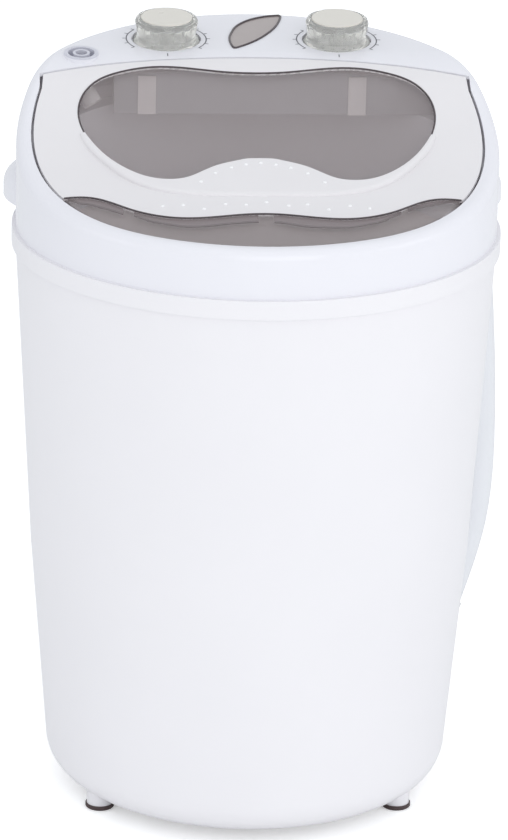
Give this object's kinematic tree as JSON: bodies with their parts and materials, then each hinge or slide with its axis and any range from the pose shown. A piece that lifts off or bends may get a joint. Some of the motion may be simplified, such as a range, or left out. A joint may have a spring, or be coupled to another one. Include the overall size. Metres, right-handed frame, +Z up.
{
  "type": "mini washing machine",
  "caption": "Compact top-loading washing machine: round tapered casing, sloped lid with smoky window, rear deck with timer knobs, side grips, drain hose.",
  "frame": {"origin": "centre of the footprint on the floor", "axes": "+Z up, -Y towards the front (the low edge of the lid), +X to the right seen from the front"},
  "size_m": [0.3861, 0.366, 0.5755],
  "materials": {
    "casing_plastic": "satin pearl white, faintly translucent",
    "frame_plastic": "glossy white",
    "cover_plastic": "glossy pearl white",
    "smoky_plastic": "glossy, smoky translucent",
    "tub_plastic": "semi-gloss",
    "tray_plastic": "satin",
    "pulsator_plastic": "semi-gloss",
    "knob_plastic": "clear, polished",
    "cap_plastic": "satin ivory silver",
    "inlet_plastic": "satin bluish grey",
    "timer_plastic": "matt",
    "fitting_plastic": "satin grey",
    "pad_rubber": "matt",
    "hose_vinyl": "satin, slightly translucent",
    "wire_vinyl": "matt",
    "plated_steel": "zinc plated",
    "cast_alloy": "as cast",
    "core_steel": "laminated",
    "winding_copper": "lacquered copper wire",
    "bush_bronze": "sintered bronze"
  },
  "bodies": {
    "machine": {"base_cover": "tray_plastic", "base_screws": "plated_steel", "bearing_housing": "cast_alloy", "capacitor": "cast_alloy", "capacitor_strap": "plated_steel", "control_tray": "tray_plastic", "cord_gland": "pad_rubber", "drain_elbow": "pad_rubber", "drain_grating": "pulsator_plastic", "drain_hose": "hose_vinyl", "drive_belt": "pad_rubber", "drive_plate": "plated_steel", "foot_pads": "pad_rubber", "frame_screws": "plated_steel", "hose_clamps": "plated_steel", "hose_clip": "fitting_plastic", "hose_nozzle": "fitting_plastic", "housing_screws": "plated_steel", "inlet_cup": "inlet_plastic", "inlet_spout": "tray_plastic", "lid_bumpers": "pad_rubber", "motor_cap_lower": "cast_alloy", "motor_cap_upper": "cast_alloy", "motor_mounts": "pad_rubber", "motor_screws": "plated_steel", "motor_stator": "core_steel", "neck_nut": "plated_steel", "neck_washer": "plated_steel", "outer_casing": "casing_plastic", "panel_lens": "smoky_plastic", "plate_screws": "plated_steel", "shaft_bushes": "bush_bronze", "shaft_seal": "pad_rubber", "stator_windings": "winding_copper", "terminal_block": "tray_plastic", "timer_left": "timer_plastic", "timer_right": "timer_plastic", "timer_screws": "plated_steel", "top_frame": "frame_plastic", "tub_gasket": "pad_rubber", "wall_elbow": "fitting_plastic", "wash_tub": "tub_plastic", "wiring_loom": "wire_vinyl"},
    "lid": {"lid_base": "smoky_plastic", "lid_cover": "cover_plastic"},
    "wash_knob": {"knob_left": "knob_plastic", "knob_cap_left": "cap_plastic", "timer_shaft_left": "plated_steel"},
    "spin_knob": {"knob_right": "knob_plastic", "knob_cap_right": "cap_plastic", "timer_shaft_right": "plated_steel"},
    "pulsator_drive": {"pulsator": "pulsator_plastic", "pulsator_screw": "plated_steel", "pulsator_cap": "pulsator_plastic", "pulsator_shaft": "plated_steel", "shaft_clip": "plated_steel", "driven_pulley": "fitting_plastic"},
    "motor_spindle": {"motor_rotor": "core_steel", "motor_shaft": "plated_steel", "motor_pulley": "fitting_plastic"}
  },
  "joints": [
    {"name": "lid_hinge", "type": "hinge", "parent": "machine", "child": "lid", "pos_m": [0, 0.052, 0.5326], "axis": [-1, 0, 0], "range_deg": [0, 110]},
    {"name": "wash_knob_turn", "type": "hinge", "parent": "machine", "child": "wash_knob", "pos_m": [-0.065, 0.1185, 0.55582], "axis": [0, 0.0872, -0.9962], "range_deg": [0, 300]},
    {"name": "spin_knob_turn", "type": "hinge", "parent": "machine", "child": "spin_knob", "pos_m": [0.065, 0.1185, 0.55582], "axis": [0, 0.0872, -0.9962], "range_deg": [0, 300]},
    {"name": "pulsator_spin", "type": "hinge", "parent": "machine", "child": "pulsator_drive", "pos_m": [0, 0, 0.17], "axis": [0, 0, 1], "continuous": true},
    {"name": "motor_spin", "type": "hinge", "parent": "machine", "child": "motor_spindle", "pos_m": [0, 0.082, 0.1], "axis": [0, 0, 1], "continuous": true}
  ],
  "couplings": [
    {"joint": "motor_spin", "follows": "pulsator_spin", "ratio": 4.5833}
  ]
}
